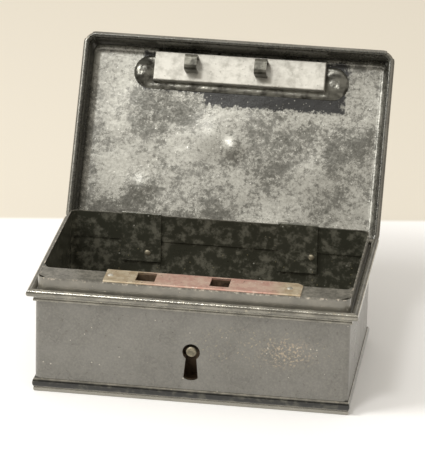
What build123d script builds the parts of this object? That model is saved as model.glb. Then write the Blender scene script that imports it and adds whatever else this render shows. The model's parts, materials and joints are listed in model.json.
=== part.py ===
"""Black japanned tinplate money box with a hinged lid, a keeper with two staples and a warded lock.

Millimetres, +Z up, front towards -Y. The origin is the middle of the underside. The lid is made
closed, in the place where it meets the body, and then swung open about the rear wire.
"""
import os
from build123d import *

os.makedirs("parts", exist_ok=True)

# ---- body, driving dimensions ----
WIDTH = 152.0            # over the walls, left to right
DEPTH = 94.0             # over the walls, front to back
SHEET = 0.5              # tinplate
WALL_CORNER_R = 2.5      # outside radius of the upright corners
FLOOR_Z = 1.2            # underside of the floor above the table
BEAD_TOP_Z = 6.7         # top edge of the bottom pan's bead
BEAD_OUT = 1.1           # how far the bead stands out of the wall
FOOT_OUT = 0.6           # how far the foot lip stands out of the wall
BAND_Z = 47.1            # lower edge of the band under the shoulder roll
BAND_OUT = 0.9           # how far the band stands out of the wall
ROLL_Z = 51.7            # centre of the shoulder roll
ROLL_R = 1.93            # outside radius of the shoulder roll
WIRE_R = 1.35            # wire inside both rolled edges of the body
NECK_TOP_Z = 58.8        # top edge of the neck that the lid closes over
NECK_BOTTOM_Z = 45.0
NECK_FIT = 0.05          # gap between the wall and the neck inside it
NECK_CORNER_R = 4.0

# ---- shelf and lock ----
SHELF_DEPTH = 13.3       # from the neck's inner face to the shelf's inner edge
SHELF_LIP = 3.5          # height of the turned-down inner lip
SHELF_FLANGE = 5.5       # height of the flange against the neck
SHELF_GAP = 0.05         # gap between the shelf's ends and the neck
SHELF_INSIDE_R = 3.0     # rounded corners of the opening
SHELF_WING = 0.9         # width of the shelf's side wings
PLATE_LENGTH = 95.0      # lock plate, left to right
PLATE_MIDDLE_X = 4.0
PLATE_THICK = 0.8
PLATE_OVERHANG = 1.2     # plate past the shelf's inner edge
PLATE_DOG_EAR = 2.6      # clipped right rear corner
PLATE_RIVET_LEFT = 2.5   # rivets from the plate's ends
PLATE_RIVET_RIGHT = 5.9
SLOT_WIDTH = 9.3         # slots for the staples
SLOT_DEPTH = 10.3
SLOT_X = (-23.7, 12.05)
SLOT_Y = -37.9
CASE_BOTTOM_Z = 8.6
CASE_SHEET = 0.8
CASE_END_CLEAR = 0.45    # bolt's end to the case's side with the bolt drawn back
PIN_Z = 26.2             # drill pin and centre of the key's sweep
PIN_R = 2.5
PIN_TENON_R = 1.9        # where it is riveted through the case
PIN_CHAMFER = 0.35
PIN_RECESS = 0.1         # pin's end behind the front of the wall
KEYHOLE_R = 4.25
KEYHOLE_NECK_WIDTH = 5.2
KEYHOLE_FOOT_WIDTH = 7.1
KEYHOLE_FOOT_Z = 12.9
KEYHOLE_FOOT_SAG = 1.3
WARD_R = 8.4
WARD_THICK = 0.8
WARD_HEIGHT = 2.6
BOLT_THICK = 2.4
BOLT_BOTTOM_Z = 36.2
BOLT_TOP_Z = 52.0
PRONG_HEIGHT = 2.6
PRONG_ROOT = 2.4         # width of the upright that carries a prong
PRONG_CLEAR = 0.7        # prong tip to staple with the bolt drawn back
PRONG_PAST = 0.6         # prong tip past the staple with the bolt thrown
UPRIGHT_CLEAR = 0.4      # upright to staple with the bolt thrown
POST_R = 1.9
POST_COLLAR_R = 3.2
POST_X = (-17.5, 13.5)
POST_Z = 46.5
SLIDE_CLEAR = 0.25       # around the posts, in the bolt's slots
POST_SIDE_CLEAR = 0.2    # between the posts' collars and the bolt's faces
PILLAR_HEAD = 0.4
PILLAR_R = 1.8
PILLAR_INSET = 3.8       # pillar centre from the case's outside
PILLAR_TOP_Z = 31.5
SPRING_THICK = 0.4
SPRING_WIDTH = 5.0

# ---- hinges ----
HINGE_X = 39.5           # middle of each hinge from the middle of the box
HINGE_WIDTH = 20.0
KNUCKLE_WIDTH = 7.0      # middle knuckle, on the body's leaf
KNUCKLE_GAP = 0.3        # between neighbouring knuckles
KNUCKLE_R = 1.9
KNUCKLE_CLEAR = 0.05     # turning clearance of the lid's knuckles on the wire
LEAF_THICK = 0.6
LEAF_BOTTOM_Z = 34.0
LEAF_TOP_Z = 60.0        # top of the fold over the rim
BODY_RIVETS = ((-36.2, 38.6), (46.6, 42.6))
NOTCH_CLEAR = 0.4        # rolled edges cut back beside each hinge

# ---- lid, closed ----
OPEN_ANGLE = 122.0       # rest position, leaning back from closed
SEAM_GAP = 0.3           # between the body's roll and the lid's hem
HEM_R = 1.65
HEM_WIRE_R = 1.15
SKIRT_CLEAR = 0.3        # inside of the skirt outside the wall's plane
SKIRT_CORNER_R = 3.0
CREASE_Z = 63.6          # small step in the skirt
CREASE_STEP = 0.8
LID_TOP_INSIDE_Z = 67.6
COVE_R = 3.6             # inside radius between skirt and panel
HEM_CORNER_CUT = 4.5     # hem curl cut away at the front corners
LID_LEAF_TOP_Z = 63.5
LID_RIVET_Z = 61.9
LID_RIVET_SPREAD = 6.0   # lid rivets from the middle of each hinge
KEEPER_LENGTH = 110.5    # backing plate with rounded ends
KEEPER_DEPTH = 17.4
KEEPER_Y = -34.1
KEEPER_THICK = 0.6
KEEPER_MIDDLE_X = 1.2
BAR_LENGTH = 88.0
BAR_DEPTH = 15.0
BAR_HEIGHT = 4.0
BAR_MIDDLE_X = 0.6
BAR_Y = -36.9
STAPLE_WIDTH = 6.3       # strip width, left to right
STAPLE_DEPTH = 8.0
STAPLE_HEIGHT = 9.6      # below the bar
STAPLE_THICK = 1.0
KEEPER_RIVET_OUT = 49.2  # rivets from the middle of the keeper

# ---- rivets ----
RIVET_R = 0.9
RIVET_HEAD_R = 1.5
RIVET_HEAD_H = 0.7
RIVET_FIT = 0.02

# ---- worked out from the values above ----
HALF_W = WIDTH / 2
HALF_D = DEPTH / 2
RIVET_DOME_R = (RIVET_HEAD_R ** 2 + RIVET_HEAD_H ** 2) / (2 * RIVET_HEAD_H)
NECK_OUT = SHEET + NECK_FIT                  # neck's outer face inside the wall's plane
NECK_IN = NECK_OUT + SHEET                   # neck's inner face inside the wall's plane
FLOOR_TOP_Z = FLOOR_Z + SHEET
ROLL_OUT = ROLL_R                            # roll centre outside the wall's plane
SHELF_FRONT_Y = -HALF_D + NECK_IN
SHELF_BACK_Y = SHELF_FRONT_Y + SHELF_DEPTH
PLATE_BACK_Y = SHELF_BACK_Y + PLATE_OVERHANG
PLATE_TOP_Z = NECK_TOP_Z + PLATE_THICK
CASE_BACK_Y = SHELF_BACK_Y + 0.5
CASE_FRONT_Y = SHELF_FRONT_Y + SHEET + 0.05
CASE_INNER_BACK_Y = CASE_BACK_Y - CASE_SHEET
CASE_INNER_FRONT_Y = CASE_FRONT_Y + CASE_SHEET
AXIS_Y = HALF_D + ROLL_OUT
AXIS_Z = ROLL_Z
HINGE_AXIS = Axis((0, AXIS_Y, AXIS_Z), (1, 0, 0))
HEM_Z = ROLL_Z + ROLL_R + SEAM_GAP + HEM_R
HEM_OUT = SKIRT_CLEAR + HEM_R
LID_TOP_Z = LID_TOP_INSIDE_Z + SHEET
KEEPER_FACE_Z = LID_TOP_INSIDE_Z - KEEPER_THICK
BAR_FACE_Z = KEEPER_FACE_Z - BAR_HEIGHT
STAPLE_FOOT_Z = BAR_FACE_Z - STAPLE_HEIGHT
PRONG_Z = STAPLE_FOOT_Z + STAPLE_THICK + 0.6  # underside of a prong, above the staple's foot
BOLT_Y = SLOT_Y
CASE_DEPTH = CASE_BACK_Y - CASE_FRONT_Y
BOLT_BACK = CASE_BACK_Y - BOLT_Y - BOLT_THICK / 2    # bolt's faces, from the case's back
BOLT_FRONT = BOLT_BACK + BOLT_THICK
PRONG_TIPS = [x - STAPLE_WIDTH / 2 - PRONG_CLEAR for x in SLOT_X]
PRONG_LENGTH = PRONG_ROOT + UPRIGHT_CLEAR + STAPLE_WIDTH + PRONG_PAST
BOLT_TRAVEL = PRONG_CLEAR + STAPLE_WIDTH + PRONG_PAST
BOLT_LEFT = PRONG_TIPS[0] - PRONG_LENGTH
CASE_HALF_WIDTH = CASE_SHEET + CASE_END_CLEAR - BOLT_LEFT


def rounded_loop(half_w, half_d, radius, z):
    """Closed path round the box with rounded corners."""
    with BuildSketch(Plane.XY.offset(z)) as outline:
        RectangleRounded(2 * half_w, 2 * half_d, radius)
    return outline.sketch.faces()[0].outer_wire()


def mitred_loop(half_w, half_d, z):
    """Closed path round the box with sharp corners, from the middle of the right side."""
    with BuildLine(Plane.XY.offset(z)) as loop:
        Polyline((half_w, 0), (half_w, half_d), (-half_w, half_d), (-half_w, -half_d),
                 (half_w, -half_d), (half_w, 0))
    return loop.wire()


def sheet_ring(outer_w, outer_d, thickness, corner_r, z_low, z_high):
    """Upright rectangular band of sheet, added to the part in hand."""
    with BuildSketch(Plane.XY.offset(z_low)) as ring:
        RectangleRounded(2 * outer_w, 2 * outer_d, corner_r)
        RectangleRounded(2 * (outer_w - thickness), 2 * (outer_d - thickness),
                         corner_r - thickness, mode=Mode.SUBTRACT)
    extrude(ring.sketch, amount=z_high - z_low)


def block(x_low, x_high, y_low, y_high, z_low, z_high, mode=Mode.ADD):
    """Box between two corners, added to or cut from the part in hand."""
    with Locations(((x_low + x_high) / 2, (y_low + y_high) / 2, (z_low + z_high) / 2)):
        Box(x_high - x_low, y_high - y_low, z_high - z_low, mode=mode)


def rivet(length, plane):
    """Rivet along the plane's normal: a domed head below its origin, a shank and a flat head."""
    with BuildSketch(Plane(plane.origin, x_dir=plane.x_dir, z_dir=-plane.y_dir)) as half:
        with BuildLine():
            Polyline((0, -RIVET_HEAD_H), (0, length + RIVET_HEAD_H / 2),
                     (RIVET_HEAD_R, length + RIVET_HEAD_H / 2), (RIVET_HEAD_R, length),
                     (RIVET_R, length), (RIVET_R, 0), (RIVET_HEAD_R, 0))
            RadiusArc((RIVET_HEAD_R, 0), (0, -RIVET_HEAD_H), RIVET_DOME_R)
        make_face()
    revolve(half.sketch, axis=Axis(plane.origin, plane.z_dir))


def keyhole(plane, grow=0.0):
    """Keyhole outline on a plane whose origin is the pin's centre."""
    foot = KEYHOLE_FOOT_Z - PIN_Z
    neck_half = KEYHOLE_NECK_WIDTH / 2 + grow
    foot_half = KEYHOLE_FOOT_WIDTH / 2 + grow
    with BuildSketch(plane) as hole:
        Circle(KEYHOLE_R + grow)
        with BuildLine():
            Polyline((foot_half, foot), (neck_half, -KEYHOLE_R + 1), (-neck_half, -KEYHOLE_R + 1),
                     (-foot_half, foot))
            ThreePointArc((-foot_half, foot), (0, foot - KEYHOLE_FOOT_SAG - grow), (foot_half, foot))
        make_face()
    return hole.sketch


def opened(part):
    """The closed lid's piece swung back to the open rest position."""
    return part.rotate(HINGE_AXIS, -OPEN_ANGLE)


def save(part, label):
    """Label a finished piece and write it out."""
    part.label = label
    export_step(part, f"parts/{label}.step")


# ================= body =================
with BuildPart() as bottom_pan:
    with BuildSketch(Plane.XY.offset(FLOOR_Z)):
        RectangleRounded(WIDTH - 2 * NECK_FIT, DEPTH - 2 * NECK_FIT, WALL_CORNER_R)
    extrude(amount=SHEET)
    with BuildSketch(Plane.XZ) as pan_section:
        with BuildLine():
            Line((HALF_W - 0.3, 0), (HALF_W + 0.2, 0))
            ThreePointArc((HALF_W + 0.2, 0), (HALF_W + FOOT_OUT, 1.0), (HALF_W + 0.4, 2.2))
            ThreePointArc((HALF_W + 0.4, 2.2), (HALF_W + BEAD_OUT, 4.4),
                          (HALF_W + 0.35, BEAD_TOP_Z))
            Polyline((HALF_W + 0.35, BEAD_TOP_Z), (HALF_W, BEAD_TOP_Z), (HALF_W, FLOOR_TOP_Z),
                     (HALF_W - 0.3, FLOOR_TOP_Z), (HALF_W - 0.3, 0))
        make_face()
    sweep(pan_section.sketch, path=mitred_loop(HALF_W, HALF_D, 0), transition=Transition.RIGHT)
save(bottom_pan.part, "bottom_pan")

with BuildPart() as body_wrapper:
    sheet_ring(HALF_W, HALF_D, SHEET, WALL_CORNER_R, FLOOR_TOP_Z, ROLL_Z)
    front_wall = Plane((0, -HALF_D - 1, PIN_Z), x_dir=(1, 0, 0), z_dir=(0, -1, 0))
    extrude(keyhole(front_wall), amount=-(SHEET + 2), mode=Mode.SUBTRACT)
    for rivet_x, rivet_z in BODY_RIVETS:
        with Locations(Plane((rivet_x, HALF_D, rivet_z), z_dir=(0, 1, 0))):
            Cylinder(RIVET_R + RIVET_FIT, 4 * SHEET, mode=Mode.SUBTRACT)
save(body_wrapper.part, "body_wrapper")

with BuildPart() as shoulder_moulding:
    roll_x = HALF_W + ROLL_OUT
    with BuildSketch(Plane.XZ) as roll_section:
        with BuildLine():
            Line((HALF_W, BAND_Z + 0.2), (HALF_W + 0.2, BAND_Z))
            Line((HALF_W + 0.2, BAND_Z), (HALF_W + BAND_OUT - 0.2, BAND_Z))
            ThreePointArc((HALF_W + BAND_OUT - 0.2, BAND_Z), (HALF_W + BAND_OUT, BAND_Z + 0.4),
                          (HALF_W + BAND_OUT - 0.25, BAND_Z + 1.4))
            Polyline((HALF_W + BAND_OUT - 0.25, BAND_Z + 1.4), (HALF_W + BAND_OUT, ROLL_Z - ROLL_R + 0.4),
                     (HALF_W, ROLL_Z - ROLL_R + 0.8), (HALF_W, BAND_Z + 0.2))
        make_face()
        with Locations((roll_x, ROLL_Z)):
            Circle(ROLL_R)
            Circle(WIRE_R + RIVET_FIT, mode=Mode.SUBTRACT)
    sweep(roll_section.sketch, path=mitred_loop(roll_x, HALF_D + ROLL_OUT, ROLL_Z),
          transition=Transition.RIGHT)
    for side in (-1, 1):
        reach = HINGE_WIDTH / 2 + NOTCH_CLEAR
        block(side * HINGE_X - reach, side * HINGE_X + reach, HALF_D, AXIS_Y + 3 * ROLL_R,
              ROLL_Z - KNUCKLE_R - 0.15, ROLL_Z + 2 * ROLL_R, mode=Mode.SUBTRACT)
save(shoulder_moulding.part, "shoulder_moulding")

with BuildPart() as shoulder_wire:
    with BuildSketch(Plane.XZ) as wire_section:
        with Locations((HALF_W + ROLL_OUT, ROLL_Z)):
            Circle(WIRE_R)
    sweep(wire_section.sketch, path=mitred_loop(HALF_W + ROLL_OUT, HALF_D + ROLL_OUT, ROLL_Z),
          transition=Transition.RIGHT)
save(shoulder_wire.part, "shoulder_wire")

with BuildPart() as neck_rim:
    sheet_ring(HALF_W - NECK_OUT, HALF_D - NECK_OUT, SHEET, NECK_CORNER_R, NECK_BOTTOM_Z, NECK_TOP_Z)
save(neck_rim.part, "neck_rim")

# ================= shelf =================
shelf_half = HALF_W - NECK_IN - SHELF_GAP
with BuildPart() as front_shelf:
    with BuildSketch(Plane.XY.offset(NECK_TOP_Z - SHEET)) as shelf_top:
        with BuildLine():
            wing_y = SHELF_BACK_Y + SHELF_INSIDE_R
            edge = shelf_half - SHELF_WING
            Polyline((edge, wing_y), (shelf_half, wing_y), (shelf_half, SHELF_FRONT_Y + NECK_CORNER_R),
                     (shelf_half - NECK_CORNER_R, SHELF_FRONT_Y), (NECK_CORNER_R - shelf_half, SHELF_FRONT_Y),
                     (-shelf_half, SHELF_FRONT_Y + NECK_CORNER_R), (-shelf_half, wing_y), (-edge, wing_y))
            RadiusArc((-edge, wing_y), (SHELF_INSIDE_R - edge, SHELF_BACK_Y), -SHELF_INSIDE_R)
            Line((SHELF_INSIDE_R - edge, SHELF_BACK_Y), (edge - SHELF_INSIDE_R, SHELF_BACK_Y))
            RadiusArc((edge - SHELF_INSIDE_R, SHELF_BACK_Y), (edge, wing_y), -SHELF_INSIDE_R)
        make_face()
    extrude(amount=SHEET)
    front_edge = front_shelf.edges().filter_by(Axis.X).group_by(Axis.Y)[0].sort_by(Axis.Z)[-1]
    fillet(front_edge, SHEET * 0.8)
    flange_reach = shelf_half - NECK_CORNER_R
    block(-flange_reach, flange_reach, SHELF_FRONT_Y, SHELF_FRONT_Y + SHEET,
          NECK_TOP_Z - SHELF_FLANGE, NECK_TOP_Z - SHEET)
    lip_reach = edge - SHELF_INSIDE_R
    block(-lip_reach, lip_reach, SHELF_BACK_Y - SHEET, SHELF_BACK_Y,
          NECK_TOP_Z - SHELF_LIP, NECK_TOP_Z - SHEET)
    notch = CASE_HALF_WIDTH + 0.3
    block(-notch, notch, CASE_FRONT_Y - 0.04, SHELF_BACK_Y + 1,
          NECK_TOP_Z - 2 * SHELF_FLANGE, NECK_TOP_Z + 1, mode=Mode.SUBTRACT)
    plate_rivets = [(PLATE_MIDDLE_X - PLATE_LENGTH / 2 + PLATE_RIVET_LEFT, SLOT_Y - 0.8),
                    (PLATE_MIDDLE_X + PLATE_LENGTH / 2 - PLATE_RIVET_RIGHT, SLOT_Y - 0.8)]
    with Locations(*[(x, y, NECK_TOP_Z) for x, y in plate_rivets]):
        Cylinder(RIVET_R + RIVET_FIT, 3, mode=Mode.SUBTRACT)
save(front_shelf.part, "front_shelf")

# ================= lock =================
with BuildPart() as lock_plate:
    with BuildSketch(Plane.XY.offset(NECK_TOP_Z)):
        plate_front_y = SHELF_FRONT_Y + 0.05
        plate_left = PLATE_MIDDLE_X - PLATE_LENGTH / 2
        plate_right = PLATE_MIDDLE_X + PLATE_LENGTH / 2
        with BuildLine():
            Polyline((plate_left, plate_front_y), (plate_right, plate_front_y),
                     (plate_right, PLATE_BACK_Y - PLATE_DOG_EAR), (plate_right - PLATE_DOG_EAR, PLATE_BACK_Y),
                     (plate_left, PLATE_BACK_Y), close=True)
        make_face()
        with Locations(*[(x, SLOT_Y) for x in SLOT_X]):
            Rectangle(SLOT_WIDTH, SLOT_DEPTH, mode=Mode.SUBTRACT)
        with Locations(*plate_rivets):
            Circle(RIVET_R + RIVET_FIT, mode=Mode.SUBTRACT)
    extrude(amount=PLATE_THICK)
save(lock_plate.part, "lock_plate")

with BuildPart() as lock_plate_rivets:
    for x, y in plate_rivets:
        rivet(PLATE_THICK + SHEET, Plane((x, y, PLATE_TOP_Z), x_dir=(1, 0, 0), z_dir=(0, 0, -1)))
save(lock_plate_rivets.part, "lock_plate_rivets")

pillar_x = CASE_HALF_WIDTH - PILLAR_INSET
pillar_places = [(x, z) for x in (-pillar_x, pillar_x) for z in (CASE_BOTTOM_Z + PILLAR_INSET, PILLAR_TOP_Z)]
post_places = [(x, POST_Z) for x in POST_X]
case_back = Plane((0, CASE_BACK_Y, 0), x_dir=(1, 0, 0), z_dir=(0, -1, 0))
case_front = Plane((0, CASE_FRONT_Y, 0), x_dir=(1, 0, 0), z_dir=(0, -1, 0))

with BuildPart() as lock_case:
    block(-CASE_HALF_WIDTH, CASE_HALF_WIDTH, CASE_INNER_FRONT_Y, CASE_BACK_Y, CASE_BOTTOM_Z, NECK_TOP_Z)
    inside = CASE_HALF_WIDTH - CASE_SHEET
    block(-inside, inside, CASE_INNER_FRONT_Y, CASE_INNER_BACK_Y, CASE_BOTTOM_Z + CASE_SHEET,
          NECK_TOP_Z, mode=Mode.SUBTRACT)
    with Locations((0, CASE_BACK_Y, PIN_Z)):
        Cylinder(PIN_TENON_R + RIVET_FIT, 6 * CASE_SHEET, rotation=(90, 0, 0), mode=Mode.SUBTRACT)
    with Locations(*[(x, CASE_BACK_Y, z) for x, z in pillar_places + post_places]):
        Cylinder(RIVET_R + RIVET_FIT, 6 * CASE_SHEET, rotation=(90, 0, 0), mode=Mode.SUBTRACT)
save(lock_case.part, "lock_case")

with BuildPart() as lock_cap:
    block(-CASE_HALF_WIDTH, CASE_HALF_WIDTH, CASE_FRONT_Y, CASE_INNER_FRONT_Y, CASE_BOTTOM_Z, NECK_TOP_Z)
    cap_plane = Plane((0, CASE_FRONT_Y - 1, PIN_Z), x_dir=(1, 0, 0), z_dir=(0, -1, 0))
    extrude(keyhole(cap_plane), amount=-(CASE_SHEET + 2), mode=Mode.SUBTRACT)
    with Locations(*[(x, CASE_FRONT_Y, z) for x, z in pillar_places + post_places]):
        Cylinder(RIVET_R + RIVET_FIT, 6 * CASE_SHEET, rotation=(90, 0, 0), mode=Mode.SUBTRACT)
save(lock_cap.part, "lock_cap")


def stud(x, z, rings):
    """Turned stud from the case's back to its front; rings are (radius, start, end) from the back."""
    axis_plane = Plane((x, CASE_BACK_Y, z), x_dir=(1, 0, 0), z_dir=(0, 0, 1))
    with BuildSketch(axis_plane) as half:
        for radius, start, end in rings:
            with Locations((radius / 2, -(start + end) / 2)):
                Rectangle(radius, end - start)
    revolve(half.sketch, axis=Axis((x, CASE_BACK_Y, z), (0, 1, 0)))


with BuildPart() as lock_pillars:
    for x, z in pillar_places:
        stud(x, z, [(RIVET_R, 0, CASE_DEPTH), (PILLAR_R, CASE_SHEET, CASE_DEPTH - CASE_SHEET),
                    (RIVET_HEAD_R, CASE_DEPTH, CASE_DEPTH + PILLAR_HEAD)])
save(lock_pillars.part, "lock_pillars")

with BuildPart() as bolt_posts:
    for x, z in post_places:
        stud(x, z, [(RIVET_R, 0, CASE_DEPTH), (POST_R, CASE_SHEET, CASE_DEPTH - CASE_SHEET),
                    (POST_COLLAR_R, CASE_SHEET, BOLT_BACK - POST_SIDE_CLEAR),
                    (POST_COLLAR_R, BOLT_FRONT + POST_SIDE_CLEAR, CASE_DEPTH - CASE_SHEET)])
save(bolt_posts.part, "bolt_posts")

with BuildPart() as drill_pin:
    stud(0, PIN_Z, [(PIN_TENON_R, 0, CASE_SHEET), (PIN_R, CASE_SHEET, CASE_BACK_Y + HALF_D - PIN_RECESS)])
    pin_tip = drill_pin.edges().filter_by(GeomType.CIRCLE).sort_by(Axis.Y)[0]
    chamfer(pin_tip, PIN_CHAMFER)
save(drill_pin.part, "drill_pin")

with BuildPart() as key_ward:
    ward_plane = Plane((0, CASE_INNER_BACK_Y, PIN_Z), x_dir=(1, 0, 0), z_dir=(0, -1, 0))
    with BuildSketch(ward_plane):
        Circle(WARD_R)
        Circle(WARD_R - WARD_THICK, mode=Mode.SUBTRACT)
        with Locations((0, -WARD_R)):
            Rectangle(KEYHOLE_FOOT_WIDTH + 1, WARD_R, mode=Mode.SUBTRACT)
    extrude(amount=WARD_HEIGHT)
save(key_ward.part, "key_ward")

with BuildPart() as lock_bolt:
    bolt_face = Plane((0, BOLT_Y + BOLT_THICK / 2, 0), x_dir=(1, 0, 0), z_dir=(0, -1, 0))
    bolt_right = CASE_HALF_WIDTH - CASE_SHEET - BOLT_TRAVEL - 0.6
    talon_x = -BOLT_TRAVEL / 2
    with BuildSketch(bolt_face):
        with BuildLine():
            Polyline((BOLT_LEFT, BOLT_BOTTOM_Z), (bolt_right, BOLT_BOTTOM_Z), (bolt_right, BOLT_TOP_Z),
                     (BOLT_LEFT, BOLT_TOP_Z), close=True)
        make_face()
        for tip in PRONG_TIPS:
            with BuildLine():
                root = tip - PRONG_LENGTH
                Polyline((root, BOLT_TOP_Z - 1), (root + PRONG_ROOT, BOLT_TOP_Z - 1),
                         (root + PRONG_ROOT, PRONG_Z), (tip, PRONG_Z), (tip, PRONG_Z + PRONG_HEIGHT * 0.6),
                         (tip - PRONG_HEIGHT * 0.4, PRONG_Z + PRONG_HEIGHT), (root, PRONG_Z + PRONG_HEIGHT),
                         close=True)
            make_face()
        with Locations((talon_x, BOLT_BOTTOM_Z)):
            Rectangle(BOLT_TRAVEL + 1, 10, mode=Mode.SUBTRACT)
        slot_length = BOLT_TRAVEL + 2 * (POST_R + SLIDE_CLEAR)
        with Locations(*[(x - BOLT_TRAVEL / 2, z) for x, z in post_places]):
            SlotOverall(slot_length, 2 * (POST_R + SLIDE_CLEAR), mode=Mode.SUBTRACT)
    extrude(amount=BOLT_THICK)
save(lock_bolt.part, "lock_bolt")

with BuildPart() as bolt_spring:
    spring_face = Plane((0, BOLT_Y + SPRING_WIDTH / 2, 0), x_dir=(1, 0, 0), z_dir=(0, -1, 0))
    fixed_x = CASE_HALF_WIDTH - CASE_SHEET
    press_z = BOLT_TOP_Z + 0.3
    with BuildSketch(spring_face):
        with BuildLine():
            ThreePointArc((fixed_x, NECK_TOP_Z - 1.0), (fixed_x - 8, press_z + 1.4), (fixed_x - 16, press_z))
            Line((fixed_x - 16, press_z), (fixed_x - 16, press_z + SPRING_THICK))
            ThreePointArc((fixed_x - 16, press_z + SPRING_THICK), (fixed_x - 8, press_z + 1.4 + SPRING_THICK),
                          (fixed_x, NECK_TOP_Z - 1.0 + SPRING_THICK))
            Line((fixed_x, NECK_TOP_Z - 1.0 + SPRING_THICK), (fixed_x, NECK_TOP_Z - 1.0))
        make_face()
    extrude(amount=SPRING_WIDTH)
save(bolt_spring.part, "bolt_spring")

# ================= hinges =================
LEAF_IN_Y = HALF_D - NECK_IN                 # neck's inner face at the back
LEAF_OUT_Y = HALF_D - NECK_OUT               # neck's outer face at the back


def barrel(x_low, x_high, bore_r):
    """Rolled knuckle round the rear wire."""
    with BuildSketch(Plane.YZ.offset(x_low)) as ring:
        with Locations((AXIS_Y, AXIS_Z)):
            Circle(KNUCKLE_R)
            Circle(bore_r, mode=Mode.SUBTRACT)
    extrude(ring.sketch, amount=x_high - x_low)


lid_rivet_steps = (-LID_RIVET_SPREAD, LID_RIVET_SPREAD)
for side, label in ((-1, "left"), (1, "right")):
    middle = side * HINGE_X
    leaf_low = middle - HINGE_WIDTH / 2
    leaf_high = middle + HINGE_WIDTH / 2
    with BuildPart() as body_leaf:
        with BuildSketch(Plane.YZ.offset(leaf_low)) as strap:
            fold_r = (LEAF_OUT_Y - LEAF_IN_Y) / 2 + LEAF_THICK
            fold_y = (LEAF_OUT_Y + LEAF_IN_Y) / 2
            fold_z = LEAF_TOP_Z - fold_r
            with BuildLine():
                Line((fold_y - fold_r, LEAF_BOTTOM_Z), (fold_y - fold_r, fold_z))
                ThreePointArc((fold_y - fold_r, fold_z), (fold_y, LEAF_TOP_Z), (fold_y + fold_r, fold_z))
                Polyline((fold_y + fold_r, fold_z), (fold_y + fold_r, AXIS_Z + 1.0), (LEAF_OUT_Y, AXIS_Z + 1.0),
                         (LEAF_OUT_Y, fold_z))
                ThreePointArc((LEAF_OUT_Y, fold_z), (fold_y, fold_z + fold_r - LEAF_THICK), (LEAF_IN_Y, fold_z))
                Polyline((LEAF_IN_Y, fold_z), (LEAF_IN_Y, LEAF_BOTTOM_Z), (fold_y - fold_r, LEAF_BOTTOM_Z))
            make_face()
        extrude(strap.sketch, amount=HINGE_WIDTH)
        barrel(middle - KNUCKLE_WIDTH / 2, middle + KNUCKLE_WIDTH / 2, WIRE_R + RIVET_FIT)
        block(middle - KNUCKLE_WIDTH / 2, middle + KNUCKLE_WIDTH / 2, LEAF_OUT_Y, AXIS_Y - WIRE_R - 0.1,
              AXIS_Z, AXIS_Z + 1.6)
        body_rivet_x, body_rivet_z = BODY_RIVETS[0 if side < 0 else 1]
        with Locations((body_rivet_x, LEAF_IN_Y, body_rivet_z)):
            Cylinder(RIVET_R + RIVET_FIT, 4, rotation=(90, 0, 0), mode=Mode.SUBTRACT)
    save(body_leaf.part, f"hinge_body_leaf_{label}")

    with BuildPart() as lid_leaf:
        skirt_out_y = HALF_D + SKIRT_CLEAR + SHEET
        for x_low, x_high in ((leaf_low, middle - KNUCKLE_WIDTH / 2 - KNUCKLE_GAP),
                              (middle + KNUCKLE_WIDTH / 2 + KNUCKLE_GAP, leaf_high)):
            block(x_low, x_high, skirt_out_y, skirt_out_y + LEAF_THICK, AXIS_Z, LID_RIVET_Z)
            with BuildSketch(Plane.YZ.offset(x_low)) as bore:
                with Locations((AXIS_Y, AXIS_Z)):
                    Circle(KNUCKLE_R)
            extrude(bore.sketch, amount=x_high - x_low)
            with BuildSketch(Plane.YZ.offset(x_low)) as bore:
                with Locations((AXIS_Y, AXIS_Z)):
                    Circle(WIRE_R + KNUCKLE_CLEAR)
            extrude(bore.sketch, amount=x_high - x_low, mode=Mode.SUBTRACT)
        block(leaf_low, leaf_high, skirt_out_y, skirt_out_y + LEAF_THICK,
              AXIS_Z + KNUCKLE_R + 1.0, LID_LEAF_TOP_Z)
        with Locations(*[(middle + dx, skirt_out_y, LID_RIVET_Z) for dx in lid_rivet_steps]):
            Cylinder(RIVET_R + RIVET_FIT, 4, rotation=(90, 0, 0), mode=Mode.SUBTRACT)
    save(opened(lid_leaf.part), f"hinge_lid_leaf_{label}")

with BuildPart() as hinge_body_rivets:
    for x, z in BODY_RIVETS:
        inner_face = LEAF_IN_Y - LEAF_THICK
        rivet(HALF_D - inner_face, Plane((x, inner_face, z), x_dir=(1, 0, 0), z_dir=(0, 1, 0)))
save(hinge_body_rivets.part, "hinge_body_rivets")

lid_rivet_x = [side * HINGE_X + dx for side in (-1, 1) for dx in lid_rivet_steps]
with BuildPart() as hinge_lid_rivets:
    for x in lid_rivet_x:
        outer_face = HALF_D + SKIRT_CLEAR + SHEET + LEAF_THICK
        rivet(SHEET + LEAF_THICK, Plane((x, outer_face, LID_RIVET_Z), x_dir=(1, 0, 0), z_dir=(0, -1, 0)))
save(opened(hinge_lid_rivets.part), "hinge_lid_rivets")

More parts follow.
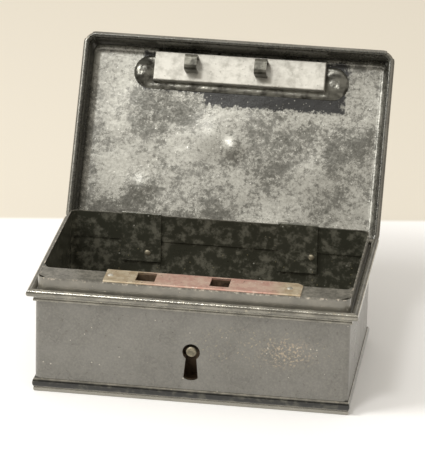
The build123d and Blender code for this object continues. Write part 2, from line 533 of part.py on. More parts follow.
# ================= lid =================
with BuildPart() as lid_shell:
    skirt_out = SKIRT_CLEAR + SHEET
    sheet_ring(HALF_W + skirt_out, HALF_D + skirt_out, SHEET, SKIRT_CORNER_R + SHEET, HEM_Z, CREASE_Z + SHEET)
    crown_out = skirt_out - CREASE_STEP
    crown_r = COVE_R + SHEET
    with BuildPart(mode=Mode.PRIVATE) as crown:
        with BuildSketch(Plane.XY.offset(CREASE_Z)):
            RectangleRounded(2 * (HALF_W + crown_out), 2 * (HALF_D + crown_out), crown_r + 0.6)
        extrude(amount=LID_TOP_Z - CREASE_Z)
        fillet(crown.faces().sort_by(Axis.Z)[-1].edges(), min(crown_r, LID_TOP_Z - CREASE_Z - 0.05))
    with BuildPart(mode=Mode.PRIVATE) as hollow:
        with BuildSketch(Plane.XY.offset(CREASE_Z)):
            RectangleRounded(2 * (HALF_W + crown_out - SHEET), 2 * (HALF_D + crown_out - SHEET),
                             crown_r + 0.6 - SHEET)
        extrude(amount=LID_TOP_INSIDE_Z - CREASE_Z)
        fillet(hollow.faces().sort_by(Axis.Z)[-1].edges(),
               min(COVE_R, LID_TOP_INSIDE_Z - CREASE_Z - 0.05))
    add(crown.part)
    with BuildSketch(Plane.XY.offset(CREASE_Z)) as step:
        RectangleRounded(2 * (HALF_W + skirt_out), 2 * (HALF_D + skirt_out), SKIRT_CORNER_R + SHEET)
    extrude(step.sketch, amount=SHEET)
    add(hollow.part, mode=Mode.SUBTRACT)
    hem_loop = rounded_loop(HALF_W + HEM_OUT, HALF_D + HEM_OUT, SKIRT_CORNER_R + HEM_R, HEM_Z)
    hem_start = Plane(hem_loop @ 0, z_dir=hem_loop % 0)
    with BuildSketch(hem_start) as hem_section:
        Circle(HEM_R)
        Circle(HEM_WIRE_R + RIVET_FIT, mode=Mode.SUBTRACT)
    sweep(hem_section.sketch, path=hem_loop)
    cut_in = skirt_out + 0.05
    for side in (-1, 1):
        corner_x = side * (HALF_W + cut_in)
        far_x = side * (HALF_W + 3 * HEM_OUT)
        block(min(corner_x, far_x), max(corner_x, far_x), -HALF_D - 3 * HEM_OUT,
              -HALF_D - 2 * HEM_OUT + HEM_CORNER_CUT, HEM_Z - 2 * HEM_R, HEM_Z + 2 * HEM_R, mode=Mode.SUBTRACT)
        inner_x = side * (HALF_W + 2 * HEM_OUT - HEM_CORNER_CUT)
        block(min(inner_x, far_x), max(inner_x, far_x), -HALF_D - 3 * HEM_OUT, -HALF_D - cut_in,
              HEM_Z - 2 * HEM_R, HEM_Z + 2 * HEM_R, mode=Mode.SUBTRACT)
        reach = HINGE_WIDTH / 2 + NOTCH_CLEAR
        block(side * HINGE_X - reach, side * HINGE_X + reach, HALF_D + skirt_out, HALF_D + 3 * HEM_OUT,
              HEM_Z - 2 * HEM_R, HEM_Z + 1.5 * HEM_R, mode=Mode.SUBTRACT)
        block(side * HINGE_X - reach, side * HINGE_X + reach, HALF_D, HALF_D + 3 * HEM_OUT,
              HEM_Z - 2 * HEM_R, HEM_Z, mode=Mode.SUBTRACT)
    with Locations(*[(x, HALF_D + SKIRT_CLEAR, LID_RIVET_Z) for x in lid_rivet_x]):
        Cylinder(RIVET_R + RIVET_FIT, 4, rotation=(90, 0, 0), mode=Mode.SUBTRACT)
    for x in (-KEEPER_RIVET_OUT, KEEPER_RIVET_OUT):
        with Locations((KEEPER_MIDDLE_X + x, KEEPER_Y, LID_TOP_Z)):
            Cylinder(RIVET_R + RIVET_FIT, 4, mode=Mode.SUBTRACT)
save(opened(lid_shell.part), "lid_shell")

with BuildPart() as lid_wire:
    with BuildSketch(hem_start) as lid_wire_section:
        Circle(HEM_WIRE_R)
    sweep(lid_wire_section.sketch, path=hem_loop)
    for side in (-1, 1):
        block(side * HINGE_X - reach, side * HINGE_X + reach, HALF_D, HALF_D + 3 * HEM_OUT,
              HEM_Z - 2 * HEM_R, HEM_Z + 2 * HEM_R, mode=Mode.SUBTRACT)
save(opened(lid_wire.part), "lid_wire")

# ================= keeper inside the lid =================
with BuildPart() as keeper_back_plate:
    with BuildSketch(Plane.XY.offset(KEEPER_FACE_Z)):
        with Locations((KEEPER_MIDDLE_X, KEEPER_Y)):
            SlotOverall(KEEPER_LENGTH, KEEPER_DEPTH)
        with Locations(*[(KEEPER_MIDDLE_X + x, KEEPER_Y) for x in (-KEEPER_RIVET_OUT, KEEPER_RIVET_OUT)]):
            Circle(RIVET_R + RIVET_FIT, mode=Mode.SUBTRACT)
    extrude(amount=KEEPER_THICK)
save(opened(keeper_back_plate.part), "keeper_back_plate")

with BuildPart() as keeper_bar:
    with BuildSketch(Plane.XY.offset(BAR_FACE_Z)):
        with Locations((BAR_MIDDLE_X, BAR_Y)):
            Rectangle(BAR_LENGTH, BAR_DEPTH)
    extrude(amount=BAR_HEIGHT)
    fillet(keeper_bar.faces().sort_by(Axis.Z)[0].edges(), 0.6)
save(opened(keeper_bar.part), "keeper_bar")

for x, label in zip(SLOT_X, ("left", "right")):
    with BuildPart() as staple:
        with BuildSketch(Plane.YZ.offset(x - STAPLE_WIDTH / 2)) as loop:
            foot_middle = (STAPLE_FOOT_Z + BAR_FACE_Z) / 2
            with Locations((SLOT_Y, foot_middle)):
                Rectangle(STAPLE_DEPTH, STAPLE_HEIGHT)
            fillet(loop.vertices().group_by(Axis.Y)[0], 2.2)
            eye_height = STAPLE_HEIGHT - STAPLE_THICK
            with BuildSketch(mode=Mode.PRIVATE) as eye:
                Rectangle(STAPLE_DEPTH - 2 * STAPLE_THICK, eye_height)
                fillet(eye.vertices().group_by(Axis.Y)[0], 1.2)
            with Locations((SLOT_Y, STAPLE_FOOT_Z + STAPLE_THICK + eye_height / 2)):
                add(eye.sketch, mode=Mode.SUBTRACT)
        extrude(loop.sketch, amount=STAPLE_WIDTH)
    save(opened(staple.part), f"staple_{label}")

with BuildPart() as keeper_rivets:
    for x in (-KEEPER_RIVET_OUT, KEEPER_RIVET_OUT):
        rivet(KEEPER_THICK + SHEET,
              Plane((KEEPER_MIDDLE_X + x, KEEPER_Y, KEEPER_FACE_Z), x_dir=(1, 0, 0), z_dir=(0, 0, 1)))
save(opened(keeper_rivets.part), "keeper_rivets")
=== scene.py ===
"""Looks of the japanned tinplate money box: finishes, dents, worn edges, floor, light and camera.

Metres, +Z up, front towards -Y, the same frame as the CAD. Sizes named MM are written in millimetres.
"""
import json
import math

import bmesh
import bpy
from mathutils import Matrix, Vector, noise


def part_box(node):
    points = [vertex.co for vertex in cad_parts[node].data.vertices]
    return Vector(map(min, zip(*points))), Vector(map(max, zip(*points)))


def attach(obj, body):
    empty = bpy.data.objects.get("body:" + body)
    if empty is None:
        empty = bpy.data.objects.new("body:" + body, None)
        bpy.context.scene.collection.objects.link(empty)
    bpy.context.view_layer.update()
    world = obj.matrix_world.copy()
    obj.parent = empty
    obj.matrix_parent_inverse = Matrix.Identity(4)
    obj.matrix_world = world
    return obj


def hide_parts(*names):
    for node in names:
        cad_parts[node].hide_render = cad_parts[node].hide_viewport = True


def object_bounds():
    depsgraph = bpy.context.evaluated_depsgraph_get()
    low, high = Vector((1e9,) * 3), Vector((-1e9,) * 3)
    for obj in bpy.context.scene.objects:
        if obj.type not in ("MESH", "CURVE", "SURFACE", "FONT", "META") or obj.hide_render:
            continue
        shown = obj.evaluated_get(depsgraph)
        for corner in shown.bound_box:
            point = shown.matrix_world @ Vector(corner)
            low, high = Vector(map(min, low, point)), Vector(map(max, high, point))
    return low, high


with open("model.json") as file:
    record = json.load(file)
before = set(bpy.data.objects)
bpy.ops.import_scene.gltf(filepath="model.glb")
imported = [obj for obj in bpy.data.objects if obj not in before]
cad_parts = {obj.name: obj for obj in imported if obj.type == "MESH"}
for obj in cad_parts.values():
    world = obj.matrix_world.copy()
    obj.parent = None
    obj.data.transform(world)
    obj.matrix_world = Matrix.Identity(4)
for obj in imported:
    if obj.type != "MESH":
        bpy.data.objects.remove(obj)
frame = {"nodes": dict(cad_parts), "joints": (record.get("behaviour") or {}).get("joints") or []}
cad_low, cad_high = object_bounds()
nodes = frame["nodes"]
scene = bpy.context.scene
MM = 0.001

# ---- places on the box, read from the frame ----
lid_joint = next(j for j in frame["joints"] if j["name"] == "lid_hinge")
HINGE = Vector(lid_joint["pos_m"])
OPEN_ANGLE = math.radians(max(lid_joint["range_deg"]))
wall_low, wall_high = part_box("body_wrapper")
pan_low, pan_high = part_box("bottom_pan")
neck_low, neck_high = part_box("neck_rim")
roll_low, roll_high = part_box("shoulder_moulding")
pin_low, pin_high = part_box("drill_pin")
CLOSE_LID = (Matrix.Translation(HINGE) @ Matrix.Rotation(OPEN_ANGLE, 4, "X")
             @ Matrix.Translation(-HINGE))
OPEN_LID = CLOSE_LID.inverted()

# ---- camera and room ----
CAMERA_PLACE = Vector((210.93, -1555.76, 683.29)) * MM
CAMERA_TURN = 7.629          # degrees round the box, towards its right side
CAMERA_DIP = 21.217          # degrees down
CAMERA_ROLL = 1.403
CAMERA_LENS = 277.116
TABLE_EDGE = 0.198           # from the origin to the table's far edge, where beige paper begins
TABLE_EDGE_SLANT = (-0.1804, 0.9836, 0.0)
FLOOR_REACH = 12.0


def linear(colour, strength=1.0):
    """sRGB hex colour as linear red, green, blue and alpha."""
    parts = [int(colour[i:i + 2], 16) / 255 for i in (1, 3, 5)]
    return [strength * (p / 12.92 if p <= 0.04045 else ((p + 0.055) / 1.055) ** 2.4) for p in parts] + [1.0]


def grains(size_mm):
    """Pattern scale that gives one cell or wave for each size_mm of the surface."""
    return 1.0 / (size_mm * MM)


def put(tree, kind, inputs=None, **settings):
    """Adds one shader node. An input given as a socket is linked, and any other is set."""
    made = tree.nodes.new("ShaderNode" + kind)
    for name, value in settings.items():
        setattr(made, name, value)
    for name, value in (inputs or {}).items():
        if isinstance(value, bpy.types.NodeSocket):
            tree.links.new(value, made.inputs[name])
        else:
            made.inputs[name].default_value = value
    return made


def finish_of(name, roughness, metallic=0.0, ior=1.5, coat=0.0):
    """New material with its shader, ready for colour, roughness and bump."""
    material = bpy.data.materials.new(name)
    material.use_nodes = True
    tree = material.node_tree
    tree.nodes.clear()
    shader = put(tree, "BsdfPrincipled", {"Roughness": roughness, "Metallic": metallic, "IOR": ior,
                                          "Coat Weight": coat, "Coat Roughness": 0.12})
    put(tree, "OutputMaterial", {"Surface": shader.outputs["BSDF"]})
    return material, tree, shader


def layered(tree, below, above, share):
    """Colour above laid over colour below, by share."""
    mix = put(tree, "Mix", {0: share, 6: below, 7: above}, data_type="RGBA")
    return mix.outputs[2]


def graded(tree, value, start, end, low=0.0, high=1.0):
    """Value read smoothly from low at start to high at end."""
    ramp = put(tree, "MapRange", {"Value": value, "From Min": start, "From Max": end, "To Min": low,
                                  "To Max": high}, interpolation_type="SMOOTHSTEP")
    return ramp.outputs["Result"]


def combined(tree, operation, first, second):
    """Two shares put together by an arithmetic operation."""
    return put(tree, "Math", {0: first, 1: second}, operation=operation, use_clamp=True).outputs[0]


def cloud(tree, place, size_mm, detail, start, end, rough=0.6):
    """Cloudy share of the surface: 0 below start and 1 above end."""
    field = put(tree, "TexNoise", {"Vector": place, "Scale": grains(size_mm), "Detail": detail,
                                   "Roughness": rough})
    return graded(tree, field.outputs["Fac"], start, end)


def specks(tree, place, spacing_mm, radius_mm, spread):
    """Share that is 1 in small round specks. Spread is how many of the cells hold one, from 0 to 1."""
    cells = put(tree, "TexVoronoi", {"Vector": place, "Scale": grains(spacing_mm), "Randomness": 1.0})
    reach = radius_mm / spacing_mm
    dots = graded(tree, cells.outputs["Distance"], reach, reach * 0.45)
    chosen = put(tree, "SeparateColor", {"Color": cells.outputs["Color"]})
    return combined(tree, "MULTIPLY", dots, graded(tree, chosen.outputs["Red"], 1 - spread, 1 - spread * 0.8))


def box_place(tree, lid=False):
    """Object position and its x, y, z; a lid's position is read as if the lid were closed."""
    coords = put(tree, "TexCoord")
    place = coords.outputs["Object"]
    normal = coords.outputs["Normal"]
    if lid:
        place = put(tree, "VectorRotate", {"Vector": place, "Center": HINGE, "Axis": (1, 0, 0),
                                           "Angle": OPEN_ANGLE}, rotation_type="AXIS_ANGLE").outputs[0]
        normal = put(tree, "VectorRotate", {"Vector": normal, "Center": (0, 0, 0), "Axis": (1, 0, 0),
                                            "Angle": OPEN_ANGLE}, rotation_type="AXIS_ANGLE").outputs[0]
    parts = put(tree, "SeparateXYZ", {"Vector": place}).outputs
    return place, normal, parts


def facing_in(tree, place, normal, middle):
    """Share that is 1 on faces that look towards the middle of the box."""
    away = put(tree, "VectorMath", {0: place, 1: middle}, operation="SUBTRACT").outputs[0]
    along = put(tree, "VectorMath", {0: away, 1: normal}, operation="DOT_PRODUCT").outputs["Value"]
    return graded(tree, along, 0.0008, -0.0008)


def patch(tree, parts, centre, half, soft):
    """Share that is 1 in an oval patch. Centre and half sizes are (x, y, z) in millimetres."""
    place = put(tree, "CombineXYZ", {"X": parts["X"], "Y": parts["Y"], "Z": parts["Z"]}).outputs[0]
    away = put(tree, "VectorMath", {0: place, 1: [c * MM for c in centre]}, operation="SUBTRACT").outputs[0]
    scaled = put(tree, "VectorMath", {0: away, 1: [h * MM for h in half]}, operation="DIVIDE").outputs[0]
    reach = put(tree, "VectorMath", {0: scaled}, operation="LENGTH").outputs["Value"]
    return graded(tree, reach, 1.0 + soft, 1.0 - soft)


def between(tree, value, low_mm, high_mm, soft_mm):
    """Share that is 1 from low to high along one direction."""
    rise = graded(tree, value, (low_mm - soft_mm) * MM, (low_mm + soft_mm) * MM)
    fall = graded(tree, value, (high_mm + soft_mm) * MM, (high_mm - soft_mm) * MM)
    return combined(tree, "MULTIPLY", rise, fall)


def bumped(tree, shader, height, depth_mm):
    """Surface relief from a share, depth_mm deep where the share is 1."""
    bump = put(tree, "Bump", {"Height": height, "Distance": depth_mm * MM, "Strength": 1.0})
    tree.links.new(bump.outputs["Normal"], shader.inputs["Normal"])
    return bump


# ---- finishes ----
def japanned_tin():
    """Black japan, a baked lacquer on tinplate. Outside its grey is partly haze and partly a painted
    reflection of the pale table, with pale dust specks and a patch of rust pitting, and it stays near
    black inside."""
    material, tree, shader = finish_of("hazed_japan_and_painted_reflection", 0.3, metallic=0.35, ior=1.55, coat=0.3)
    place, normal, parts = box_place(tree)
    inside = facing_in(tree, place, normal, (0, 0, 0.030))
    haze = cloud(tree, place, 14, 3, 0.3, 0.7)
    # Satin grey outside: haze on the japan, and a painted reflection of the pale table.
    outer = layered(tree, linear("#696761"), linear("#77756f"), haze)
    rubbed = cloud(tree, place, 1.2, 6, 0.4, 0.66, 0.7)
    outer = layered(tree, outer, linear("#8d8a81"), combined(tree, "MULTIPLY", rubbed, 0.45))
    worn_spots = cloud(tree, place, 2.4, 6, 0.6, 0.66, 0.7)
    outer = layered(tree, outer, linear("#5a574f"), combined(tree, "MULTIPLY", worn_spots, 0.8))
    rust_near = patch(tree, parts, (46, -47, 29.5), (11, 20, 6.5), 0.55)
    rust_far = patch(tree, parts, (33, -47, 31), (31, 20, 9.5), 0.5)
    pits = cloud(tree, place, 1.3, 4, 0.53, 0.6)
    pits_near = combined(tree, "MULTIPLY", pits, rust_near)
    pits_far = combined(tree, "MULTIPLY", cloud(tree, place, 1.1, 4, 0.6, 0.68), rust_far)
    outer = layered(tree, outer, linear("#a89a86"), pits_near)
    outer = layered(tree, outer, linear("#a39880"), pits_far)
    dust = specks(tree, place, 3.4, 0.36, 0.34)
    outer = layered(tree, outer, linear("#d6cfbf"), dust)
    mottle = cloud(tree, place, 5.0, 8, 0.46, 0.64, 0.72)
    inner = layered(tree, linear("#45453a"), linear("#807e70"), mottle)
    ochre = specks(tree, place, 2.4, 0.36, 0.3)
    inner = layered(tree, inner, linear("#a59c79"), ochre)
    bare = specks(tree, place, 3.6, 0.5, 0.25)
    inner = layered(tree, inner, linear("#c9c7ba"), bare)
    colour = layered(tree, outer, inner, inside)
    tree.links.new(colour, shader.inputs["Base Color"])
    tree.links.new(graded(tree, haze, 0, 1, 0.27, 0.36), shader.inputs["Roughness"])
    relief = cloud(tree, place, 22, 1, 0.2, 0.8)
    bumped(tree, shader, combined(tree, "ADD", relief, combined(tree, "MULTIPLY", pits_near, 0.2)), 0.12)
    return material


def moulding_with_wear_and_painted_light():
    """The same japan where hands rub it: thin on the roll and the bead, with tin showing through. Its pale
    greys are also painted highlight on the rolls, the bead's face is painted dark as a reflection of the
    room, and the band below it is painted pale as a reflection of the white table.
    """
    material, tree, shader = finish_of("rubbed_japan_and_painted_light_on_rolls", 0.2, metallic=0.7, ior=1.55, coat=1.0)
    place, normal, parts = box_place(tree)
    # Pale greys: rubbed japan and painted highlight on the rolls.
    haze = cloud(tree, place, 7, 3, 0.35, 0.65)
    colour = layered(tree, linear("#6a675d"), linear("#8b877b"), haze)
    chips = cloud(tree, place, 1.6, 5, 0.6, 0.68)
    colour = layered(tree, colour, linear("#a19a88"), chips)
    crumbs = specks(tree, place, 2.8, 0.35, 0.25)
    colour = layered(tree, colour, linear("#c4bda9"), crumbs)
    # Bead band: its face carries a painted dark reflection of the room.
    bead = between(tree, parts["Z"], 2.6, 6.0, 0.25)
    painted_dark_reflection = layered(tree, linear("#14140f"), linear("#4a493f"), cloud(tree, place, 3.5, 5, 0.5, 0.66))
    colour = layered(tree, colour, painted_dark_reflection, bead)
    # Band below the bead: painted paler as a reflection of the white table.
    painted_table_reflection = between(tree, parts["Z"], -1.0, 2.2, 0.2)
    colour = layered(tree, colour, linear("#98958a"), combined(tree, "MULTIPLY", painted_table_reflection, 0.8))
    tree.links.new(colour, shader.inputs["Base Color"])
    bumped(tree, shader, cloud(tree, place, 2.5, 3, 0.3, 0.7), 0.05)
    return material


def neck_japan():
    """Japan on the neck and shelf, chipped to bright tin along the top edge."""
    material, tree, shader = finish_of("chipped_japan_on_neck", 0.28, metallic=0.4, ior=1.55, coat=0.4)
    place, normal, parts = box_place(tree)
    inside = combined(tree, "MULTIPLY", facing_in(tree, place, normal, (0, 0, 0.030)),
                      graded(tree, parts["Z"], neck_high.z - 0.2 * MM, neck_high.z - 0.5 * MM))
    haze = cloud(tree, place, 9, 4, 0.3, 0.7)
    outer = layered(tree, linear("#76736a"), linear("#8a867b"), haze)
    chips = cloud(tree, place, 2.2, 6, 0.52, 0.62)
    top = graded(tree, parts["Z"], neck_high.z - 1.3 * MM, neck_high.z - 0.1 * MM)
    front_edge = graded(tree, parts["Y"], -45.0 * MM, -45.9 * MM)
    side_edge = graded(tree, combined(tree, "ABSOLUTE", parts["X"], 0.0), 73.8 * MM, 74.7 * MM)
    worn_edge = combined(tree, "MULTIPLY", top, combined(tree, "MAXIMUM", front_edge, side_edge))
    outer = layered(tree, outer, linear("#c9bfae"), combined(tree, "MULTIPLY", chips, worn_edge))
    grime = combined(tree, "MULTIPLY", cloud(tree, place, 2.0, 7, 0.42, 0.6, 0.72), top)
    outer = layered(tree, outer, linear("#4f4d44"), combined(tree, "MULTIPLY", grime, 0.75))
    outer = layered(tree, outer, linear("#b7ae99"), specks(tree, place, 2.0, 0.3, 0.25))
    inner = layered(tree, linear("#45453a"), linear("#807e70"), cloud(tree, place, 5.0, 8, 0.46, 0.64, 0.72))
    inner = layered(tree, inner, linear("#9a937c"), specks(tree, place, 2.6, 0.36, 0.25))
    colour = layered(tree, outer, inner, inside)
    tree.links.new(colour, shader.inputs["Base Color"])
    bumped(tree, shader, cloud(tree, place, 16, 2, 0.2, 0.8), 0.08)
    return material


def lid_japan():
    """Japan on the lid. Inside it has rubbed and bloomed to pale grey with dark mottling and bare
    flecks, and it is left dark where a mark was once painted. A painted shadow darkens it round the
    keeper, and the inside of the skirt is painted dark as shade below the panel."""
    material, tree, shader = finish_of("bloomed_japan_and_painted_shade_on_lid", 0.3, metallic=0.5, ior=1.55, coat=0.2)
    place, normal, parts = box_place(tree, lid=True)
    inside = facing_in(tree, place, normal, (0, 0, 0.045))
    outer = layered(tree, linear("#6a675f"), linear("#7a776e"), cloud(tree, place, 14, 3, 0.3, 0.7))
    outer = layered(tree, outer, linear("#b0a996"), specks(tree, place, 4.5, 0.4, 0.25))
    broad = put(tree, "TexNoise", {"Vector": place, "Scale": grains(24), "Detail": 2.0})
    blotch = put(tree, "TexNoise", {"Vector": place, "Scale": grains(3.0), "Detail": 9.0, "Roughness": 0.8})
    lean = combined(tree, "MULTIPLY", broad.outputs["Fac"], 0.55)
    leaning = combined(tree, "ADD", blotch.outputs["Fac"], lean)
    dark_share = graded(tree, leaning, 0.68, 0.88)
    fine = cloud(tree, place, 1.0, 5, 0.4, 0.62, 0.75)
    pale = layered(tree, linear("#9d9b91"), linear("#7f7d74"), fine)
    dark = layered(tree, linear("#45443c"), linear("#68665e"), fine)
    inner = layered(tree, pale, dark, dark_share)
    inner = layered(tree, inner, linear("#d9d7cd"), specks(tree, place, 1.9, 0.32, 0.25))
    torn = put(tree, "TexNoise", {"Vector": place, "Scale": grains(2.6), "Detail": 6.0, "Roughness": 0.7})
    torn = put(tree, "Math", {0: torn.outputs["Fac"], 1: 0.5}, operation="SUBTRACT").outputs[0]
    torn_y = put(tree, "Math", {0: torn, 1: 11 * MM, 2: parts["Y"]}, operation="MULTIPLY_ADD").outputs[0]
    torn_x = put(tree, "Math", {0: torn, 1: 16 * MM, 2: parts["X"]}, operation="MULTIPLY_ADD").outputs[0]
    mark = combined(tree, "MULTIPLY", between(tree, torn_x, -17, 55, 1.2), between(tree, torn_y, -30, -18.5, 0.7))
    # Round the keeper: a painted shadow with torn edges.
    painted_keeper_shadow = combined(tree, "MULTIPLY", between(tree, torn_x, -50, 56, 2), between(tree, torn_y, -45, -25, 0.8))
    black = combined(tree, "MAXIMUM", mark, painted_keeper_shadow)
    crumbs = specks(tree, place, 1.5, 0.34, 0.4)
    black = combined(tree, "SUBTRACT", black, combined(tree, "MULTIPLY", crumbs, 0.9))
    # Near black over the old mark and over the painted shadow round the keeper.
    inner = layered(tree, inner, linear("#12110d"), black)
    # Inside of the skirt below the panel: painted shade in the gap along the hem.
    edge = graded(tree, parts["Z"], 0.0664, 0.0650)
    rim = layered(tree, linear("#1b1a15"), linear("#4b493f"), fine)
    inner = layered(tree, inner, rim, combined(tree, "MULTIPLY", edge, 0.9))
    colour = layered(tree, outer, inner, inside)
    tree.links.new(colour, shader.inputs["Base Color"])
    tree.links.new(graded(tree, dark_share, 0, 1, 0.3, 0.22), shader.inputs["Roughness"])
    bumped(tree, shader, cloud(tree, place, 9, 4, 0.2, 0.8), 0.06)
    return material


def copper_plate():
    """Copper-washed iron plate, rubbed pink with brown stains and a few scratches."""
    material, tree, shader = finish_of("rubbed_copper_plate", 0.34, metallic=0.75)
    place, normal, parts = box_place(tree)
    copper = layered(tree, linear("#e3c6b4"), linear("#d2a596"), cloud(tree, place, 6, 4, 0.35, 0.65))
    brass = layered(tree, linear("#d9cbb0"), linear("#bda98a"), cloud(tree, place, 4, 4, 0.35, 0.65))
    left_end = graded(tree, parts["X"], -0.012, -0.030)
    right_end = graded(tree, parts["X"], 0.034, 0.046)
    colour = layered(tree, copper, brass, combined(tree, "MAXIMUM", left_end, right_end))
    colour = layered(tree, colour, linear("#8d6a58"), cloud(tree, place, 2.2, 6, 0.6, 0.72))
    colour = layered(tree, colour, linear("#f1e8dc"), cloud(tree, place, 1.2, 5, 0.62, 0.7))
    tree.links.new(colour, shader.inputs["Base Color"])
    grain = put(tree, "Mapping", {"Vector": place, "Scale": (1.0, 14.0, 1.0)})
    bumped(tree, shader, cloud(tree, grain.outputs[0], 9, 3, 0.3, 0.7), 0.02)
    return material


def bare_tin(name, pale, dark, stain, roughness):
    """Tinned iron rubbed bare: bright, with grey wear and brown specks."""
    material, tree, shader = finish_of(name, roughness, metallic=0.55)
    place, normal, parts = box_place(tree)
    colour = layered(tree, linear(pale), linear(dark), cloud(tree, place, 5, 4, 0.42, 0.7))
    colour = layered(tree, colour, linear(stain), cloud(tree, place, 1.4, 5, 0.62, 0.72))
    tree.links.new(colour, shader.inputs["Base Color"])
    bumped(tree, shader, cloud(tree, place, 2.5, 4, 0.3, 0.7), 0.03)
    return material


def dull_rivet():
    """Rivet heads under old japan: brown-grey, with the pale ring of a worn edge."""
    return bare_tin("japanned_rivet", "#a39a84", "#5a5547", "#3a352b", 0.5)


FINISH = {
    "dull_rivet": dull_rivet(),
    "japanned": japanned_tin(),
    "moulding": moulding_with_wear_and_painted_light(),
    "neck": neck_japan(),
    "lid": lid_japan(),
    "copper": copper_plate(),
    "plate": bare_tin("dark_beaten_plate", "#6b6960", "#2f2d26", "#8e8b80", 0.22),
    "bar": bare_tin("tinned_keeper_bar", "#bbb8ae", "#9c998f", "#86837a", 0.42),
    "staple": bare_tin("worn_staple_iron", "#6a685e", "#36342c", "#23211a", 0.3),
    "rivet": bare_tin("bright_rivet_tin", "#bcb8ac", "#8d897c", "#5d5548", 0.3),
    "lock": bare_tin("browned_lock_iron", "#7d6a55", "#4a3c30", "#8a6547", 0.5),
    "wire": bare_tin("drawn_iron_wire", "#7d796e", "#57534a", "#463e33", 0.4),
}
WORN_BY = {
    "body_wrapper": "japanned", "bottom_pan": "moulding", "shoulder_moulding": "moulding",
    "shoulder_wire": "wire", "neck_rim": "neck", "front_shelf": "neck", "lock_plate": "copper",
    "lock_plate_rivets": "rivet", "lock_case": "lock", "lock_cap": "lock", "lock_pillars": "lock",
    "bolt_posts": "lock", "drill_pin": "dull_rivet", "key_ward": "lock", "bolt_spring": "lock",
    "hinge_body_leaf_left": "japanned", "hinge_body_leaf_right": "japanned",
    "hinge_body_rivets": "dull_rivet", "lid_shell": "lid", "lid_wire": "wire",
    "hinge_lid_leaf_left": "lid", "hinge_lid_leaf_right": "lid", "hinge_lid_rivets": "rivet",
    "keeper_back_plate": "lid", "keeper_bar": "bar", "staple_left": "staple",
    "staple_right": "staple", "keeper_rivets": "rivet", "lock_bolt": "lock",
}
for name, finish in WORN_BY.items():
    slots = nodes[name].data.materials
    for i in range(len(slots)):
        slots[i] = FINISH[finish]
    if not len(slots):
        slots.append(FINISH[finish])


# ---- lid shell with its dents and slack panel ----
DENTS = (                   # x, y with the lid closed, radius, depth, all in mm
    (0.0, 2.7, 5.5, 0.9),
    (-45.0, 25.7, 6.5, 0.5),
    (-12.0, -2.0, 12.0, 0.35),
    (44.0, 14.0, 16.0, 0.3),
)
PANEL_CELL = 2.6 * MM
PANEL_SLACK = 0.35 * MM
PANEL_INSET = 5.5 * MM
PANEL_Z = 66.9 * MM


def dent_depth(x, y):
    """How far the panel is moved outwards at a place, in metres; dents go inwards."""
    depth = 0.0
    for dent_x, dent_y, radius, deep in DENTS:
        away = math.hypot(x / MM - dent_x, y / MM - dent_y) / radius
        depth += deep * MM * math.exp(-2.2 * away * away)
    slack = noise.noise(Vector((x * 34, y * 34, 3.7)))
    return PANEL_SLACK * slack - depth


def dented_lid():
    """The lid shell with its panel cut fine enough to carry the dents."""
    source = nodes["lid_shell"]
    form = bmesh.new()
    form.from_mesh(source.data)
    form.transform(CLOSE_LID)
    bmesh.ops.remove_doubles(form, verts=form.verts, dist=1e-6)
    low = [min(v.co[i] for v in form.verts) for i in (0, 1)]
    high = [max(v.co[i] for v in form.verts) for i in (0, 1)]
    for axis in (0, 1):
        count = int((high[axis] - low[axis] - 2 * PANEL_INSET) / PANEL_CELL)
        for i in range(count + 1):
            point = [0.0, 0.0, 0.0]
            point[axis] = low[axis] + PANEL_INSET + i * PANEL_CELL
            across = [0.0, 0.0, 0.0]
            across[axis] = 1.0
            panel = [f for f in form.faces if f.calc_center_median().z > PANEL_Z and abs(f.normal.z) > 0.99]
            parts = list({e for f in panel for e in f.edges}) + panel
            parts += list({v for f in panel for v in f.verts})
            bmesh.ops.bisect_plane(form, geom=parts, dist=1e-7, plane_co=point, plane_no=across)
    for vertex in form.verts:
        x, y, z = vertex.co
        inset = min(x - low[0], high[0] - x, y - low[1], high[1] - y) - PANEL_INSET * 0.9
        if z > PANEL_Z and inset > 0:
            vertex.co.z += dent_depth(x, y) * min(1.0, inset / (8 * MM))
    form.transform(OPEN_LID)
    mesh = bpy.data.meshes.new("dented_lid")
    form.to_mesh(mesh)
    form.free()
    mesh.materials.append(FINISH["lid"])
    mesh.shade_smooth()
    mesh.set_sharp_from_angle(angle=math.radians(35))
    piece = bpy.data.objects.new("dented_lid_shell", mesh)
    scene.collection.objects.link(piece)
    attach(piece, "lid")
    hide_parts("lid_shell")
    return piece


dented_lid()


# ---- keeper's back plate with its beaten ends ----
PLATE_BUMPS = (             # x, y with the lid closed, radius, height, all in mm
    (-48.6, -34.6, 5.6, 1.5),
    (-51.0, -29.6, 3.4, 0.6),
    (49.5, -33.4, 6.0, 1.0),
    (53.0, -31.0, 3.0, 0.5),
)
PLATE_STEP = 0.8            # mm between the mesh's lines
PLATE_EDGE = 1.1            # mm over which its edge is rounded down


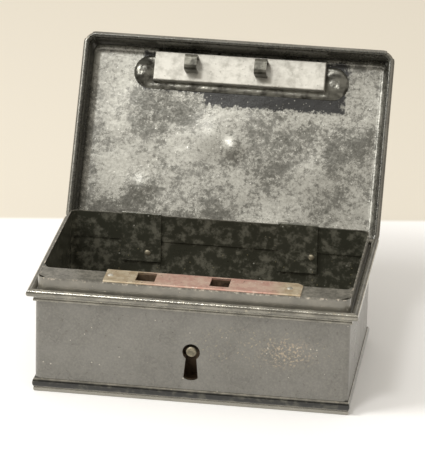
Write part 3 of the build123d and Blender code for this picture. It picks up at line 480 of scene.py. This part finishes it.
def beaten_plate():
    """The keeper's back plate, a thin slot-shaped sheet beaten up over the rivets at its ends."""
    low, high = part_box("keeper_back_plate")
    corners = [CLOSE_LID @ Vector((x, y, z)) for x in (low.x, high.x) for y in (low.y, high.y)
               for z in (low.z, high.z)]
    source = nodes["keeper_back_plate"].data
    closed = [CLOSE_LID @ v.co for v in source.vertices]
    x_low, x_high = (f(c.x for c in closed) / MM for f in (min, max))
    y_low, y_high = (f(c.y for c in closed) / MM for f in (min, max))
    z_low, z_high = (f(c.z for c in closed) / MM for f in (min, max))
    radius = (y_high - y_low) / 2
    middle_y = (y_high + y_low) / 2
    columns = int((x_high - x_low) / PLATE_STEP)
    rows = int((y_high - y_low) / PLATE_STEP)
    form = bmesh.new()
    grid = []
    for i in range(columns + 1):
        turn = math.pi * i / columns
        x = (x_high + x_low) / 2 - (x_high - x_low) / 2 * math.cos(turn)
        into_end = max(0.0, x_low + radius - x, x - x_high + radius)
        half = math.sqrt(max(0.0, radius ** 2 - into_end ** 2))
        line = []
        for j in range(rows + 1):
            y = middle_y - half * math.cos(math.pi * j / rows)
            from_edge = radius - math.hypot(into_end, y - middle_y)
            lift = (z_high - z_low) * min(1.0, math.sqrt(max(0.0, from_edge) / PLATE_EDGE))
            for bump_x, bump_y, bump_r, tall in PLATE_BUMPS:
                away = math.hypot(x - bump_x, y - bump_y) / bump_r
                lift += tall * math.exp(-2.0 * away ** 4) * min(1.0, max(0.0, from_edge) / PLATE_EDGE)
            lift += 0.12 * noise.noise(Vector((x * 0.35, y * 0.35, 1.5))) * min(1.0, max(0.0, from_edge))
            line.append(form.verts.new(Vector((x, y, z_high - lift)) * MM))
        grid.append(line)
    for i in range(columns):
        for j in range(rows):
            form.faces.new((grid[i][j], grid[i][j + 1], grid[i + 1][j + 1], grid[i + 1][j]))
    bmesh.ops.remove_doubles(form, verts=form.verts, dist=1e-6)
    rim = [e for e in form.edges if e.is_boundary]
    bmesh.ops.contextual_create(form, geom=rim)
    bmesh.ops.recalc_face_normals(form, faces=form.faces)
    form.transform(OPEN_LID)
    mesh = bpy.data.meshes.new("beaten_plate")
    form.to_mesh(mesh)
    form.free()
    mesh.materials.append(FINISH["plate"])
    mesh.shade_smooth()
    mesh.set_sharp_from_angle(angle=math.radians(50))
    piece = bpy.data.objects.new("keeper_plate_beaten", mesh)
    scene.collection.objects.link(piece)
    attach(piece, "lid")
    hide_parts("keeper_back_plate")


beaten_plate()

# ---- floor, light and camera ----
floor_mesh = bpy.data.meshes.new("table")
floor_mesh.from_pydata([(-FLOOR_REACH, -FLOOR_REACH, 0), (FLOOR_REACH, -FLOOR_REACH, 0),
                        (FLOOR_REACH, FLOOR_REACH, 0), (-FLOOR_REACH, FLOOR_REACH, 0)], [], [(0, 1, 2, 3)])
floor = bpy.data.objects.new("table", floor_mesh)
floor.location.z = cad_low.z - 0.05 * MM
scene.collection.objects.link(floor)
floor_finish, floor_tree, floor_shader = finish_of("white_table_and_beige_paper", 0.6)
floor_place = put(floor_tree, "TexCoord").outputs["Object"]
floor_out = put(floor_tree, "VectorMath", {0: floor_place, 1: TABLE_EDGE_SLANT},
                operation="DOT_PRODUCT").outputs["Value"]
paper = graded(floor_tree, floor_out, TABLE_EDGE - 0.003, TABLE_EDGE + 0.003)
floor_tree.links.new(layered(floor_tree, linear("#fbfaf8"), linear("#ddd6c7"), paper),
                     floor_shader.inputs["Base Color"])
floor_mesh.materials.append(floor_finish)

world = bpy.data.worlds.new("studio")
scene.world = world
world.use_nodes = True
sky = world.node_tree.nodes["Background"]
sky_height = put(world.node_tree, "SeparateXYZ",
                 {"Vector": put(world.node_tree, "TexCoord").outputs["Generated"]}).outputs["Z"]
sky_share = graded(world.node_tree, sky_height, 0.02, 0.75)
world.node_tree.links.new(layered(world.node_tree, linear("#8f8b84"), linear("#fffaf2", 1.12), sky_share),
                          sky.inputs["Color"])
sky.inputs["Strength"].default_value = 0.8


def softbox(name, place, aim, size, power):
    """Square area light that points at a place."""
    light = bpy.data.lights.new(name, "AREA")
    light.size = size
    light.energy = power
    lamp = bpy.data.objects.new(name, light)
    lamp.location = place
    lamp.rotation_euler = (Vector(aim) - Vector(place)).to_track_quat("-Z", "Y").to_euler()
    scene.collection.objects.link(lamp)


softbox("key_softbox", (-1.2, -0.5, 1.3), (0, 0, 0.04), 0.6, 18.0)
softbox("front_softbox", (-0.45, -1.1, 1.75), (0, 0, 0.06), 0.35, 9.0)

turn, dip, tilt = (math.radians(a) for a in (CAMERA_TURN, CAMERA_DIP, CAMERA_ROLL))
back = Vector((math.sin(turn) * math.cos(dip), -math.cos(turn) * math.cos(dip), math.sin(dip)))
right = (-back).cross(Vector((0, 0, 1))).normalized()
up = right.cross(-back)
across = math.cos(tilt) * right + math.sin(tilt) * up
upward = -math.sin(tilt) * right + math.cos(tilt) * up
camera_data = bpy.data.cameras.new("camera")
camera_data.lens = CAMERA_LENS
camera_data.clip_end = 50.0
camera = bpy.data.objects.new("camera", camera_data)
camera.matrix_world = Matrix.Translation(CAMERA_PLACE) @ Matrix((across, upward, back)).transposed().to_4x4()
scene.collection.objects.link(camera)
scene.camera = camera
scene.view_settings.view_transform = "Standard"
